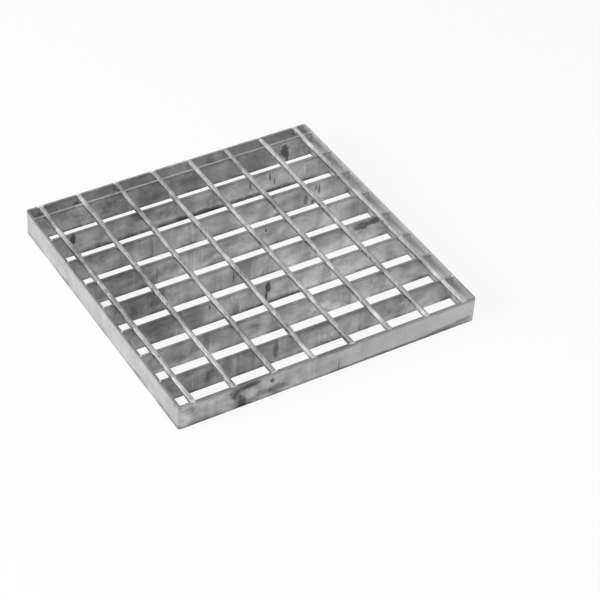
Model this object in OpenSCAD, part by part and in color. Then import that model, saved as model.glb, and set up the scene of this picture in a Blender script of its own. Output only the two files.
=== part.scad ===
// Press-welded steel grating panel, bound by a flat strip bent round its four sides.
// Millimetres, +Z up. The origin is at the centre of the underside.
// The bearing bars run along X and the twisted cross rods along Y.

/* [Panel] */
// Length along the bearing bars, over the edge band
panel_length = 293; // [200:1:600]
// Width across the bearing bars, over the edge band
panel_width = 290; // [200:1:600]

/* [Bearing bars] */
// Height of a bearing bar
bar_height = 25; // [20:1:60]
// Thickness of a bearing bar
bar_thickness = 2; // [1.5:0.1:6]
// Distance from one bearing bar to the next, centre to centre
bar_pitch = 34.3; // [25:0.1:60]
// Distance from the front of the edge band to the centre of the first bearing bar
first_bar = 35; // [20:0.5:60]
// Least room between the last bearing bar's weld and the edge band
bar_room = 4; // [1:0.5:20]

/* [Cross rods] */
// Side of the square rod, across its flats
rod_side = 4.5; // [3:0.1:8]
// Leg of the flat on each worn corner of the square
rod_corner = 0.8; // [0.3:0.1:1.2]
// Distance from one cross rod to the next, centre to centre
rod_pitch = 38.1; // [25:0.1:110]
// Distance from the left of the edge band to the axis of the first rod
first_rod = 14; // [10:0.5:60]
// Length of rod that holds one full turn of its twist
rod_turn = 290; // [100:5:800]
// Turn of each rod's square against the rod before it, in degrees
rod_stagger = 37; // [0:1:89]
// Depth of the rods' axes below the tops of the bearing bars
rod_depth = 1.8; // [1:0.1:8]
// Least room between the last rod and the edge band
rod_room = 4; // [2:0.5:20]

/* [Edge band] */
// Thickness of the strip that binds the panel
band_thickness = 2; // [1.5:0.1:8]
// Inner radius of its sharp bends at the corners
bend_radius = 0.5; // [0.5:0.5:8]

/* [Welds] */
// Leg of the fillet weld behind each end of a bearing bar
weld_leg = 2; // [1:0.1:5]
// Length of that weld up the bar
weld_length = 16; // [6:1:18]

/* [Hidden] */

// The strip is as tall as the bars, so bars and strip rest on one plane
band_height = bar_height;
inner_length = panel_length - 2 * band_thickness;
inner_width = panel_width - 2 * band_thickness;

// The worn corners of the twisting square stay inside a circle of this radius
rod_radius = norm([rod_side / 2, rod_side / 2 - rod_corner]);
rod_axis_z = bar_height - rod_depth;
rod_twist = 360 * inner_width / rod_turn;
twist_step = 10;

// The bars are counted back from the front, and the rods across from the left
last_bar_room = bar_thickness / 2 + weld_leg + bar_room;
bar_span = panel_width - first_bar - band_thickness - last_bar_room;
bar_places = [for (i = [0 : floor(bar_span / bar_pitch)])
    first_bar - panel_width / 2 + i * bar_pitch];
rod_span = panel_length - first_rod - band_thickness - rod_radius - rod_room;
rod_places = [for (i = [0 : floor(rod_span / rod_pitch)])
    first_rod - panel_length / 2 + i * rod_pitch];

STEEL = "#9a9c9e";
STRIP = "#a8aaac";
WELD = "#86888a";

// A flat bar on edge, between the two ends of the edge band
module bearing_bar() {
    translate([-inner_length / 2, -bar_thickness / 2, 0])
        cube([inner_length, bar_thickness, bar_height]);
}

// A square with its corners cut back
module rod_section() {
    intersection() {
        square(rod_side, center = true);
        rotate(45) square(sqrt(2) * (rod_side - rod_corner), center = true);
    }
}

// A square rod with an even twist, from the back of the edge band to its front
module cross_rod(start_angle) {
    translate([0, inner_width / 2, rod_axis_z])
        rotate([90, 0, 0])
            linear_extrude(height = inner_width, twist = rod_twist,
                           slices = ceil(rod_twist / twist_step), segments = 8)
                rotate(start_angle) rod_section();
}

// The bars and rods, forged into one mat where they cross
module bar_mat() {
    color(STEEL) union() {
        for (y = bar_places) translate([0, y, 0]) bearing_bar();
        for (i = [0 : len(rod_places) - 1])
            translate([rod_places[i], 0, 0]) cross_rod(i * rod_stagger);
    }
}

// A rectangle with round corners
module rounded_outline(length, width, radius) {
    square([length - 2 * radius, width], center = true);
    square([length, width - 2 * radius], center = true);
    for (x = [-1, 1], y = [-1, 1])
        translate([x * (length / 2 - radius), y * (width / 2 - radius)])
            circle(r = radius, $fn = 48);
}

// One flat strip on edge, bent round the four corners
module edge_band() {
    color(STRIP) linear_extrude(height = band_height) difference() {
        rounded_outline(panel_length, panel_width, bend_radius + band_thickness);
        rounded_outline(inner_length, inner_width, bend_radius);
    }
}

// A fillet weld in the corner between a bar's back and the strip, at half the bar's height
module bar_weld() {
    translate([0, 0, (bar_height - weld_length) / 2])
        linear_extrude(height = weld_length)
            polygon([[0, 0], [weld_leg, 0], [0, weld_leg]]);
}

// The welds behind both ends of every bearing bar
module edge_welds() {
    color(WELD) for (y = bar_places, end = [0, 1])
        translate([0, y, 0]) mirror([end, 0, 0])
            translate([-inner_length / 2, bar_thickness / 2, 0]) bar_weld();
}

bar_mat();
edge_band();
edge_welds();
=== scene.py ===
import math
import random

import bmesh
import bpy
from mathutils import Matrix, Vector, noise


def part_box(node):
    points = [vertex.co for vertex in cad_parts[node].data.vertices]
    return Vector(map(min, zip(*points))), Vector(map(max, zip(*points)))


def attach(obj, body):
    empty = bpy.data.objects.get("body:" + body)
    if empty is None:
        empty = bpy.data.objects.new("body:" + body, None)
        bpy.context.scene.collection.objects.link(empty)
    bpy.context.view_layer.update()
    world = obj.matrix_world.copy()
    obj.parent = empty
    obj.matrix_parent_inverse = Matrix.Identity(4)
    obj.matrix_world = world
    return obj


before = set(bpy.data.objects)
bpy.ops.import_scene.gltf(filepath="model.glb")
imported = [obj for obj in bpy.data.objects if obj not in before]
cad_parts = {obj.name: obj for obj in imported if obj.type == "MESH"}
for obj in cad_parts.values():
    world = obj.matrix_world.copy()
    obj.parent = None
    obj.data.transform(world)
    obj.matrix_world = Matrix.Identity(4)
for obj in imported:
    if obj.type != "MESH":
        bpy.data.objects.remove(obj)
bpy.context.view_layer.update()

# Galvanised press-welded grating panel: zinc finishes, rod skins, forged crossings, beads, studio.

MM = 0.001

# ---------------------------------------------------------------- sizes of the steelwork

PANEL_LOW, PANEL_HIGH = (Vector(corner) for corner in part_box("edge_band"))
MAT_TOP = Vector(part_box("bar_mat")[1]).z
BAND_THICKNESS = 2 * MM
BAR_HEIGHT = PANEL_HIGH.z
FIRST_BAR = PANEL_LOW.y + 35 * MM
BAR_PITCH = 34.3 * MM
FIRST_ROD = PANEL_LOW.x + 14 * MM
ROD_PITCH = 38.1 * MM
ROD_AXIS = BAR_HEIGHT - 1.8 * MM
ROD_TURN = 290 * MM
ROD_STAGGER = 37
BARS = [FIRST_BAR + i * BAR_PITCH for i in range(8)]
RODS = [FIRST_ROD + i * ROD_PITCH for i in range(8)]
FRONT_ENDS = PANEL_LOW.y + BAND_THICKNESS
BACK_ENDS = PANEL_HIGH.y - BAND_THICKNESS

# The zinc skin of a rod, in millimetres from its axis
SKIN_FLAT = 2.33
SKIN_CORNER = 2.70
SKIN_AT_BAR = 2.95
SKIN_ROUGHNESS = 0.10
SWELL_SHARE = 0.8
SWELL_REACH = 3.0 * MM
SKIN_SIDES = 32
SKIN_SECTIONS = 190

# What is added stays this far inside the panel's own box
INSET = 0.02


# ---------------------------------------------------------------- shader maths

def plug(socket, value):
    """Links a flow to a socket, or sets the socket's own value."""
    if isinstance(value, Flow):
        socket.id_data.links.new(value.socket, socket)
    else:
        socket.default_value = value


class Flow:
    """A value on its way through a material's nodes."""

    def __init__(self, socket):
        self.socket = socket

    def math(self, operation, first, second=0.0):
        node = self.socket.id_data.nodes.new("ShaderNodeMath")
        node.operation = operation
        plug(node.inputs[0], first)
        plug(node.inputs[1], second)
        return Flow(node.outputs[0])

    def __add__(self, other):
        return self.math("ADD", self, other)

    def __radd__(self, other):
        return self.math("ADD", other, self)

    def __sub__(self, other):
        return self.math("SUBTRACT", self, other)

    def __rsub__(self, other):
        return self.math("SUBTRACT", other, self)

    def __mul__(self, other):
        return self.math("MULTIPLY", self, other)

    def __abs__(self):
        return self.math("ABSOLUTE", self)

    def most(self, other):
        return self.math("MAXIMUM", self, other)

    def least(self, other):
        return self.math("MINIMUM", self, other)


class Nodes:
    """A node tree, and the one way that nodes are put into it."""

    def __init__(self, tree):
        self.tree = tree
        self.tree.nodes.clear()

    def node(self, kind, settings=None, sockets=None, out=0):
        made = self.tree.nodes.new(kind)
        for name, value in (settings or {}).items():
            setattr(made, name, value)
        for name, value in (sockets or {}).items():
            plug(made.inputs[name], value)
        return Flow(made.outputs[out]) if made.outputs else None

    def seen(self):
        """1 where the tree is looked at, straight or in a mirror or through glass, else 0."""
        total = self.node("ShaderNodeLightPath", out="Is Camera Ray")
        for ray in ("Is Glossy Ray", "Is Transmission Ray"):
            total = total.most(self.node("ShaderNodeLightPath", out=ray))
        return total


class Finish(Nodes):
    """A material, with its object coordinates, its normals and its spots and noises."""

    def __init__(self, name):
        self.material = bpy.data.materials.new(name)
        self.material.use_nodes = True
        super().__init__(self.material.node_tree)
        self.place = self.node("ShaderNodeTexCoord", out="Object")
        self.x, self.y, self.z = self.parts(self.place)
        self.nx, self.ny, self.nz = self.parts(self.node("ShaderNodeNewGeometry", out="Normal"))
        self.rag = self.clouds((3.0, 3.0, 3.0), detail=3, roughness=0.6)

    def parts(self, vector):
        node = self.node("ShaderNodeSeparateXYZ", sockets={0: vector}).socket.node
        return [Flow(socket) for socket in node.outputs]

    def grain(self, x, y, z):
        """Object coordinates counted in grains of this size, in millimetres."""
        scale = (1 / (x * MM), 1 / (y * MM), 1 / (z * MM))
        return self.node("ShaderNodeVectorMath", {"operation": "MULTIPLY"},
                         {0: self.place, 1: scale})

    def clouds(self, size, detail=2.0, roughness=0.5, distortion=0.0):
        """Soft noise about 0.5, with clouds of a size in millimetres."""
        sockets = {"Vector": self.grain(*size), "Scale": 1.0, "Detail": detail,
                   "Roughness": roughness, "Distortion": distortion}
        return self.node("ShaderNodeTexNoise", sockets=sockets, out="Fac")

    def step(self, value, low, high, to_low=0.0, to_high=1.0):
        """A smooth ramp from to_low to to_high as a value goes from low to high."""
        sockets = {"Value": value, "From Min": low, "From Max": high,
                   "To Min": to_low, "To Max": to_high}
        return self.node("ShaderNodeMapRange", {"interpolation_type": "SMOOTHSTEP"}, sockets)

    def blot(self, centre, size):
        """A spot, 1 in its middle and 0 outside, softer and more ragged when it is larger."""
        moved = self.node("ShaderNodeVectorMath", {"operation": "SUBTRACT"},
                          {0: self.place, 1: Vector(centre) * MM})
        scale = tuple(1 / (part * MM) for part in size)
        scaled = self.node("ShaderNodeVectorMath", {"operation": "MULTIPLY"},
                           {0: moved, 1: scale})
        reach = self.node("ShaderNodeVectorMath", {"operation": "LENGTH"}, {0: scaled}, "Value")
        edge = min(0.6, 0.15 + max(size) * 0.02)
        raggedness = min(1.6, min(size) * 0.4)
        return self.step(reach + (self.rag - 0.5) * raggedness, 1 - edge, 1 + edge, 1.0, 0.0)

    def blots(self, marks):
        """Several ragged spots as one mask; each is (centre, size, strength)."""
        total = 0.0
        for centre, size, strength in marks:
            total = self.blot(centre, size) * strength + total
        return total.least(1.0)

    def metal(self, shade, roughness, height, depth, metallic):
        """Zinc of a grey shade, with relief of a height and a depth in millimetres."""
        colour = self.node("ShaderNodeCombineColor",
                           sockets={"Red": shade, "Green": shade, "Blue": shade})
        bump = self.node("ShaderNodeBump", sockets={"Strength": 0.6, "Distance": depth * MM,
                                                    "Height": height})
        shader = self.node("ShaderNodeBsdfPrincipled",
                           sockets={"Base Color": colour, "Roughness": roughness,
                                    "Metallic": metallic, "Normal": bump})
        self.node("ShaderNodeOutputMaterial", sockets={"Surface": shader})
        return self.material


# ---------------------------------------------------------------- zinc finishes

PLAIN_ROUGHNESS = 0.46
RELIEF_DEPTH = 0.3
FOOT_LINE = 0.4
FOOT_HAZE = 0.22
BROW_PAINTED_SHADE = 0.34
BEND_PAINTED_SHADE = 0.15
RIM_DULLING = 0.25
DIRT_AND_SHADE_DULLING = 0.64
DARKEST, PALEST = 0.03, 0.92
SMOOTHEST = 0.2


def zinc(name, tone, contrast=1.0, stains_and_painted_shade=(), pale_marks_and_highlights=(), top_painted_shade=1.0, flank_painted_shade=1.0,
         speckle_share=1.0, leftward_painted_shade=0.0, metallic=0.45, calm=None):
    """Hot-dip zinc gone matt: smooth clouds, worn patches, runs, darker feet, dirty spots, painted
    shade and painted highlights.
    """
    f = Finish(name)
    upright = f.step(abs(f.nz), 0.5, 0.8, 1.0, 0.0)
    upward = f.step(f.nz, 0.85, 0.97)
    lively = contrast
    if calm:
        lively = f.step(f.nx, -0.9, -0.4, 0.35, 1.0) * f.step(f.x, -30 * MM, 20 * MM, 1.0, calm)
        lively = lively * contrast

    patches = f.clouds((30, 30, 17), detail=2, roughness=0.45, distortion=0.7)
    mottle = f.clouds((6.5, 6.5, 6), detail=3, roughness=0.55, distortion=0.6)
    worn = f.step(f.clouds((34, 31, 28), detail=1), 0.44, 0.58)
    runs = f.clouds((2.6, 2.6, 45), detail=2, roughness=0.6, distortion=0.5)
    run_off = f.step(f.clouds((15, 17, 80), detail=1), 0.54, 0.66) * upright
    wide_runs = f.clouds((12, 12, 90), detail=1, roughness=0.5)
    speckle = f.clouds((1.1, 1.1, 1.1), detail=2, roughness=0.7)
    rims = f.step(abs(patches - 0.47), 0.0, 0.014, 1.0, 0.0) * f.step(mottle, 0.40, 0.58)

    cloud = (patches - 0.5) * 0.80 + (mottle - 0.5) * (worn * 0.45 + 0.12)
    flow = (runs - 0.5) * run_off * 0.45 + (wide_runs - 0.5) * upright * 0.35
    shade = tone + (cloud + flow) * lively
    shade = shade + (speckle - 0.5) * (worn * 0.7 + 0.3) * (0.10 * speckle_share)
    # Painted shade: the colour grows lighter towards +x and darker towards the left.
    shade = shade + f.x * leftward_painted_shade
    shade = shade * (1 - rims * lively * RIM_DULLING)

    # Upright faces darker in their lowest millimetres, and painted shade in a band just under the
    # top
    lowness = f.z + (mottle - 0.5) * (3.5 * MM) + (patches - 0.5) * (8 * MM)
    foot = (f.step(lowness, 0.3 * MM, 1.6 * MM, 1.0, 0.0) * FOOT_LINE
            + f.step(lowness, 1.0 * MM, 5.0 * MM, FOOT_HAZE, 0.0))
    highness = f.z + (mottle - 0.5) * (3.0 * MM)
    brow = f.step(highness, BAR_HEIGHT - 3.0 * MM, BAR_HEIGHT - 1.5 * MM)
    shade = shade * (1 - foot * upright) * (1 - brow * upright * BROW_PAINTED_SHADE)
    # Painted shade: faces that look up are drawn darker, so the tops of bars and bands don't stand
    # out as bright rims.
    shade = shade * (1 + upward * (top_painted_shade - 1))
    # Painted shade on the rounded bends of upright faces, drawn darker against their bright glint.
    bend = f.step(abs(f.nx * f.ny), 0.06, 0.30)
    shade = shade * (1 - bend * upright * BEND_PAINTED_SHADE)
    # Painted shade on the rods' flanks: faces that turn sideways are drawn darker than the top.
    if flank_painted_shade < 1:
        shade = shade * f.step(f.nz, 0.15, 0.85, flank_painted_shade, 1.0)

    roughness = PLAIN_ROUGHNESS + (mottle - 0.5) * 0.25 + (speckle - 0.5) * 0.15 + bend * 0.3
    # Broad painted shade, and real stains and dirt, darken the listed spots.
    if stains_and_painted_shade:
        dirt_and_shade = f.blots(stains_and_painted_shade)
        shade = shade * (1 - dirt_and_shade * (DIRT_AND_SHADE_DULLING + mottle * 0.3))
        roughness = roughness + dirt_and_shade * 0.2
    # Pale marks, and painted highlights and painted light, lighten the listed spots.
    if pale_marks_and_highlights:
        shade = shade + f.blots(pale_marks_and_highlights) * (mottle * 0.4)
    height = speckle * 0.25 + mottle * (worn * 0.7 + 0.2) + runs * run_off * 0.6 + patches
    shade = shade.most(DARKEST).least(PALEST)
    return f.metal(shade, roughness.most(SMOOTHEST), height, RELIEF_DEPTH, metallic)


# Places and sizes are (x, y, z) in millimetres, places from the middle of the underside
BAR_STAINS_AND_PAINTED_SHADE = [
    # Painted shade: broad darkening of three columns of bars and of the front, back and
    # second-last bars.
    ((-109, 0, 12), (24, 62, 40), 0.42),
    ((30, 130.1, 9), (122, 6, 21), 0.55),
    ((0, -110, 12), (170, 6, 60), 0.22),
    ((0, 95.8, 12), (150, 6, 60), 0.15),
    ((-75, 0, 12), (20, 130, 40), 0.15),
    ((2, 0, 12), (18, 130, 40), 0.15),
    # Dark marks, streaks and spots on single bars.
    ((-124.3, 95.8, 19), (3.0, 3, 6), 1.0),
    ((-125, 95.8, 9), (1.1, 3, 6), 0.9),
    ((58, 95.8, 16), (1.2, 3, 6), 0.6),
    ((79, 95.8, 18), (0.9, 3, 5), 0.8),
    ((84, 95.8, 11), (0.9, 3, 4), 0.7),
    ((15, 95.8, 1.5), (100, 3, 3.4), 0.85),
    ((0, -41.4, 1), (60, 3, 2.4), 0.5),
    ((-37, 95.8, 14), (3, 3, 7), 0.25),
    ((115, 130.1, 13), (4.0, 3, 7), 0.75),
    ((118, 130.1, 7), (2.2, 3, 6), 0.6),
    ((105.5, 61.5, 3), (2.0, 3, 4), 0.8),
    ((112, 61.5, 16), (1.2, 3, 7), 0.8),
    ((108.5, 61.5, 19), (1.6, 3, 4), 0.6),
    ((98, 61.5, 9), (2.4, 3, 7), 0.65),
    ((71, 61.5, 1.5), (8, 3, 3), 0.5),
    ((-86, 61.5, 12), (4, 3, 14), 0.25),
    ((34.5, 27.2, 19.5), (1.1, 3, 2.0), 0.9),
    ((-76, 27.2, 12), (0.8, 3, 9), 0.5),
    ((116, -7.1, 19.5), (10, 3, 4.5), 0.8),
    ((130, -7.1, 21), (8, 3, 4), 0.9),
    ((55, -7.1, 6), (8, 3, 5), 0.3),
    ((-18, -7.1, 10), (0.8, 3, 5), 0.8),
    ((-3.2, -41.4, 19), (2.8, 3, 6.5), 1.0),
    ((-4.6, -41.4, 9), (1.3, 3, 6), 1.0),
    ((-35, -41.4, 6), (4.0, 3, 6), 0.45),
    ((-61, -41.4, 19), (1.0, 3, 2.5), 0.7),
    ((-84, -75.7, 14), (4, 3, 14), 0.35),
    ((60, -75.7, 6), (2, 3, 8), 0.35),
    ((-35.5, -110, 14), (2.8, 3, 10), 0.5),
    ((-82, -110, 14), (5, 3, 14), 0.35),
    ((10, -110, 22), (16, 3, 3), 0.35),
    ((125, -110, 22), (14, 3, 3), 0.3),
]
BAR_PALE_RUNS_AND_TOP_HIGHLIGHT = [
    # Pale runs and streaks on the bars.
    ((-115, -110, 12), (1.2, 3, 9), 0.5),
    ((-75, -110, 12), (1.0, 3, 9), 0.6),
    ((8, -110, 10), (1.2, 3, 7), 0.7),
    ((14, -110, 9), (1.6, 3, 3), 0.7),
    ((21, -110, 9), (1.6, 3, 3), 0.6),
    ((47, -110, 13), (5, 3, 8), 0.3),
    ((97, -110, 13), (1.0, 3, 6), 0.8),
    ((92, -110, 15), (3.0, 3, 1.2), 0.8),
    ((99, -75.7, 12), (1.5, 3, 6), 0.6),
    ((66, -75.7, 4), (1.0, 3, 4), 0.6),
    ((57, -41.4, 12), (1.2, 3, 9), 0.5),
    ((64, -41.4, 10), (2.0, 3, 7), 0.5),
    ((-30.5, -41.4, 5), (0.7, 3, 4), 0.8),
    ((117, 95.8, 14), (0.7, 3, 7), 0.7),
    # Painted highlight along the top edge of the back bar.
    ((0, 130.1, 25.1), (143, 1.2, 0.8), 0.9),
]
BAND_STAINS_AND_PAINTED_SHADOW = [
    # Painted shadow across the left part of the front band, and a smoky dark swirl there that is
    # partly stain and partly painted shadow.
    ((-75, -145, 12), (27, 3, 16), 0.22),
    ((-95, -145, 18), (4, 3, 6), 0.5),
    ((-92, -145, 13), (3.5, 3, 6), 0.5),
    ((-87, -145, 5), (4, 3, 7), 0.7),
    ((-78, -145, 21), (8, 3, 2.4), 0.75),
    ((-86, -145, 20), (6, 3, 2.5), 0.5),
    ((-58.5, -145, 17), (2.0, 3, 2.4), 0.95),
    ((-54, -145, 7), (10, 3, 4), 0.5),
    ((-68, -145, 8), (6, 3, 3), 0.3),
    # Dark stains and streaks on the front, left and back bands.
    ((-136, -145, 17), (5, 3, 4), 0.4),
    ((-122, -145, 9), (18, 3, 9), 0.2),
    ((-8, -145, 14), (11, 3, 9), 0.2),
    ((5, -145, 24), (17, 3, 2.5), 0.45),
    ((7, -145, 6), (0.5, 3, 7), 0.8),
    ((60, -145, 1), (70, 3, 1.6), 0.6),
    ((118, -145, 3.6), (20, 3, 1.8), 0.55),
    ((134, -145, 6), (9, 3, 1.5), 0.5),
    ((-145, -138, 22), (3, 1.5, 3), 0.5),
    ((-98, 143, 16), (3, 3, 3), 0.7),
    ((-118, 143, 22), (14, 3, 2.4), 0.5),
    ((-66, 143, 21), (16, 3, 3.5), 0.4),
    ((-35, 143, 19), (10, 3, 5), 0.35),
    ((42, 143, 18), (4, 3, 6), 0.5),
    ((80, 143, 21), (12, 3, 3), 0.3),
    ((125, 143, 21), (16, 3, 3.5), 0.5),
]
BAND_PALE_PATCHES_AND_PAINTED_LIGHT = [
    # Painted light on the front band beside the front-left bend.
    ((-141, -146, 12), (7, 2, 16), 0.9),
    # Pale patches on the front band.
    ((-77, -145, 11), (5, 3, 5), 0.6),
    ((-116, -145, 13), (3, 3, 7), 0.4),
    # A zinc drip below the first rod's front end, painted as a bright highlight.
    ((-132, -145, 22), (1.3, 3, 3.4), 1.0),
    # Painted light on the back band's inner face, which lies in shade behind the back bar; the
    # right band made lighter; painted highlights along the right band's top rim.
    ((0, 143, 20), (160, 3, 20), 0.45),
    ((144.5, 0, 14), (2, 160, 20), 0.40),
    ((145.5, 95, 25), (2.5, 60, 2), 0.9),
    ((145.5, -40, 25), (2.5, 70, 2), 0.6),
    # Pale patches on the back band's inner face.
    ((10, 143, 20), (14, 3, 9), 0.5),
    ((50, 143, 20), (9, 3, 5), 0.3),
]
ROD_LIGHT_SPOTS_AND_END_HIGHLIGHTS = [
    # Light spots on the rods beside the back bar.
    ((-54.8, 128.0, 23), (2.2, 2.2, 3), 0.9),
    ((21.4, 127.8, 23), (2.4, 2.4, 3), 1.0),
    ((97.6, 127.8, 23), (2.4, 2.4, 3), 1.0),
    ((59.5, 128.2, 23), (2.0, 2.0, 3), 0.7),
    ((135, 128.0, 23), (2.2, 2.2, 3), 0.8),
    # Painted highlights on the back ends of the first two rods.
    ((-131.5, 143.5, 24), (2.5, 2.5, 3), 1.0),
    ((-94, 143.5, 24), (2.5, 2.5, 3), 0.9),
]

# Painted highlights on the weld beads over the back ends of the first four rods.
END_BEAD_HIGHLIGHTS = [((rod / MM, 143.6, 25), (3.2, 2.0, 3.0), 0.9) for rod in RODS[:4]]

bar_zinc = zinc("matt_zinc_on_bars", 0.47, stains_and_painted_shade=BAR_STAINS_AND_PAINTED_SHADE, pale_marks_and_highlights=BAR_PALE_RUNS_AND_TOP_HIGHLIGHT,
                top_painted_shade=0.45, leftward_painted_shade=0.55)
band_zinc = zinc("zinc_with_painted_light_on_edge_band", 0.44, contrast=0.8, stains_and_painted_shade=BAND_STAINS_AND_PAINTED_SHADOW,
                 pale_marks_and_highlights=BAND_PALE_PATCHES_AND_PAINTED_LIGHT, top_painted_shade=0.42, speckle_share=1.3, leftward_painted_shade=0.35,
                 calm=0.35)
rod_zinc = zinc("zinc_with_painted_shade_and_highlights_on_rods", 0.37, contrast=0.8, pale_marks_and_highlights=ROD_LIGHT_SPOTS_AND_END_HIGHLIGHTS,
                flank_painted_shade=0.45, leftward_painted_shade=0.3, speckle_share=2.5, metallic=0.5)
weld_zinc = zinc("rough_zinc_on_welds", 0.46, contrast=0.6, pale_marks_and_highlights=END_BEAD_HIGHLIGHTS,
                 speckle_share=2.0)


def dress(node_name, material):
    """Gives a CAD node its finish."""
    steel = bpy.data.objects[node_name]
    steel.data.materials.clear()
    steel.data.materials.append(material)
    return steel


dress("bar_mat", bar_zinc)
dress("edge_welds", weld_zinc)
edge_band = dress("edge_band", band_zinc)
rounding = edge_band.modifiers.new("worn_edges", "BEVEL")
rounding.width = 0.35 * MM
rounding.segments = 2
rounding.limit_method = "ANGLE"


# ---------------------------------------------------------------- forged rods and beads

def add_piece(name, mesh_maker, material):
    """Makes one piece from mesh code, smooth, riding on the panel."""
    shape = bmesh.new()
    mesh_maker(shape)
    mesh = bpy.data.meshes.new(name)
    for face in shape.faces:
        face.smooth = True
    shape.to_mesh(mesh)
    shape.free()
    piece = bpy.data.objects.new(name, mesh)
    mesh.materials.append(material)
    bpy.context.scene.collection.objects.link(piece)
    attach(piece, "root")
    return piece


def rod_ring(shape, rod, y):
    """One section of a rod's zinc skin: a worn square, swollen where a bar is forged in."""
    turn = math.radians(rod * ROD_STAGGER - 360 * (BACK_ENDS - y) / ROD_TURN)
    nearest = min(abs(y - bar) for bar in BARS)
    swell = math.exp(-(nearest / SWELL_REACH) ** 2)
    ring = []
    for step in range(SKIN_SIDES):
        around = step / SKIN_SIDES * 2 * math.pi
        flat = SKIN_FLAT / max(abs(math.cos(around)), abs(math.sin(around)))
        reach = min(flat, SKIN_CORNER)
        reach = reach + (SKIN_AT_BAR - reach) * SWELL_SHARE * swell
        spot = Vector((RODS[rod] * 90, y * 260, around * 0.8))
        reach = (reach + SKIN_ROUGHNESS * noise.noise(spot) * (0.3 + swell)) * MM
        x = RODS[rod] + reach * math.cos(around + turn)
        z = ROD_AXIS + reach * math.sin(around + turn)
        ring.append(shape.verts.new((x, y, min(z, MAT_TOP))))
    return ring


def rod_skins(shape):
    """The zinc on all eight rods, as one closed tube each."""
    low, high = FRONT_ENDS + INSET * MM, BACK_ENDS - INSET * MM
    places = [low + (high - low) * i / SKIN_SECTIONS for i in range(SKIN_SECTIONS + 1)]
    for rod in range(len(RODS)):
        rings = [rod_ring(shape, rod, y) for y in places]
        for first, second in zip(rings, rings[1:]):
            for i in range(SKIN_SIDES):
                j = (i + 1) % SKIN_SIDES
                shape.faces.new((first[i], second[i], second[j], first[j]))
        shape.faces.new(rings[0])
        shape.faces.new(reversed(rings[-1]))


def lump(shape, centre, size, raggedness, seed):
    """A small rounded blob of metal, a little lumpy, kept inside the panel's box."""
    made = bmesh.ops.create_icosphere(shape, subdivisions=3, radius=1.0)
    low = PANEL_LOW + Vector((INSET, INSET, INSET)) * MM
    high = Vector((PANEL_HIGH.x - INSET * MM, PANEL_HIGH.y - INSET * MM, MAT_TOP - 0.01 * MM))
    for vert in made["verts"]:
        way = Vector([abs(part) ** 0.8 * math.copysign(1, part) for part in vert.co])
        bulge = 1 + raggedness * noise.noise(way * 1.7 + Vector((seed * 3.1, seed, 0)))
        spot = Vector([c + w * s * bulge * MM for c, w, s in zip(centre, way, size)])
        vert.co = [min(max(part, a), b) for part, a, b in zip(spot, low, high)]


def crossings(shape):
    """Metal squeezed out beside each rod where it is forged down into a bar."""
    chance = random.Random(5)
    for rod in range(len(RODS)):
        for bar in range(len(BARS)):
            wide = chance.uniform(2.7, 3.3)
            deep = chance.uniform(1.9, 2.6)
            aside = chance.uniform(-0.3, 0.4) * MM
            centre = (RODS[rod] + aside, BARS[bar] - chance.uniform(0, 0.5) * MM, 23.3 * MM)
            lump(shape, centre, (wide, deep, 2.35), 0.25, rod * len(BARS) + bar)


def end_beads(shape):
    """Weld beads over the ends of the rods, and small ones at the ends of the bars."""
    chance = random.Random(11)
    for rod in range(len(RODS)):
        for side in (-1, 1):
            y = side * (PANEL_HIGH.y - 1.25 * MM)
            wide = chance.uniform(2.6, 3.6)
            centre = (RODS[rod] + chance.uniform(-0.4, 0.4) * MM, y, 24.2 * MM)
            lump(shape, centre, (wide, 1.3, 1.5), 0.3, 90 + rod * 2 + side)
    for bar in range(len(BARS)):
        for side in (-1, 1):
            x = side * (PANEL_HIGH.x - 1.6 * MM)
            size = (chance.uniform(1.2, 2.0), chance.uniform(1.2, 2.2), chance.uniform(0.3, 0.8))
            if side < 0:
                size = (0.9, 1.0, 0.35)
            lump(shape, (x, BARS[bar], 24.9 * MM), size, 0.5, 140 + bar * 2 + side)


add_piece("rod_skins", rod_skins, rod_zinc)
add_piece("forged_crossings", crossings, rod_zinc)
add_piece("end_beads", end_beads, weld_zinc)


# ---------------------------------------------------------------- studio

def white_floor_material():
    """White to look at, and pale enough under the lamps to keep a soft shadow."""
    material = bpy.data.materials.new("white_studio_floor")
    material.use_nodes = True
    f = Nodes(material.node_tree)
    paint = f.node("ShaderNodeBsdfDiffuse", sockets={"Color": (0.8, 0.8, 0.8, 1)})
    glow = f.node("ShaderNodeEmission", sockets={"Color": (1, 1, 1, 1), "Strength": 1.0})
    both = f.node("ShaderNodeMixShader", sockets={0: f.seen() * 0.88, 1: paint, 2: glow})
    f.node("ShaderNodeOutputMaterial", sockets={"Surface": both})
    return material


def studio_floor():
    """The floor that the panel lies on."""
    shape = bmesh.new()
    bmesh.ops.create_grid(shape, x_segments=1, y_segments=1, size=3.0)
    mesh = bpy.data.meshes.new("studio_floor")
    shape.to_mesh(mesh)
    shape.free()
    mesh.materials.append(white_floor_material())
    floor = bpy.data.objects.new("studio_floor", mesh)
    floor.location.z = PANEL_LOW.z - 0.05 * MM
    bpy.context.scene.collection.objects.link(floor)


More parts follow.
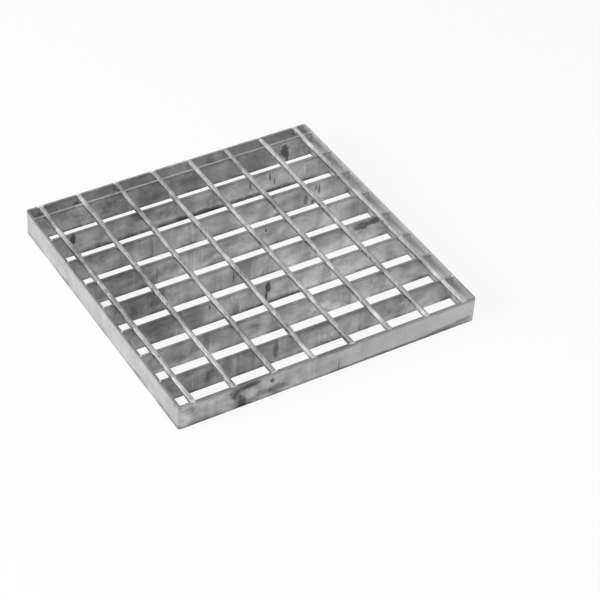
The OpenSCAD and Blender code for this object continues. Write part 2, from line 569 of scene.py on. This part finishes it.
def softbox(name, position, size, power):
    """A broad lamp that looks at the middle of the panel."""
    lamp = bpy.data.lights.new(name, "AREA")
    lamp.shape = "RECTANGLE"
    lamp.size, lamp.size_y = size
    lamp.energy = power
    box = bpy.data.objects.new(name, lamp)
    box.location = position
    box.rotation_euler = (-Vector(position)).to_track_quat("-Z", "Y").to_euler()
    bpy.context.scene.collection.objects.link(box)


def studio_air(strength):
    """Even light from all round, and white behind the floor's far edge."""
    world = bpy.data.worlds.new("studio_air")
    world.use_nodes = True
    sky = Nodes(world.node_tree)
    air = sky.node("ShaderNodeBackground", sockets={"Color": (1, 1, 1, 1), "Strength": strength})
    white = sky.node("ShaderNodeBackground", sockets={"Color": (1, 1, 1, 1), "Strength": 1.0})
    both = sky.node("ShaderNodeMixShader", sockets={0: sky.seen(), 1: air, 2: white})
    sky.node("ShaderNodeOutputWorld", sockets={"Surface": both})
    bpy.context.scene.world = world


def studio_camera():
    """A long lens from the front left, tipped a little to one side."""
    azimuth, elevation, roll = (math.radians(angle) for angle in (33.37, 40.70, 3.78))
    aim = Vector((17.1, -64.4, 12.5)) * MM
    distance = 1.737
    forward = Vector((math.sin(azimuth) * math.cos(elevation),
                      math.cos(azimuth) * math.cos(elevation), -math.sin(elevation)))
    level = forward.cross(Vector((0, 0, 1))).normalized()
    right = level * math.cos(roll) + level.cross(forward) * math.sin(roll)
    up = right.cross(forward)
    turn = Matrix((right, up, -forward)).transposed().to_4x4()
    lens = bpy.data.cameras.new("studio_camera")
    lens.lens = 119.66
    lens.sensor_width = 36
    lens.clip_start = 0.05
    lens.shift_x, lens.shift_y = -0.00083, 0.00083
    camera = bpy.data.objects.new("studio_camera", lens)
    camera.matrix_world = Matrix.Translation(aim - forward * distance) @ turn
    bpy.context.scene.collection.objects.link(camera)
    bpy.context.scene.camera = camera


studio_floor()
studio_air(0.38)
softbox("left_softbox", (-1.7, 0.1, 0.75), (1.6, 1.0), 41)
softbox("overhead_softbox", (0.1, 0.3, 1.8), (1.6, 1.6), 3)
softbox("front_softbox", (0.25, -1.3, 1.45), (1.2, 0.8), 9)
studio_camera()
bpy.context.scene.view_settings.view_transform = "Standard"
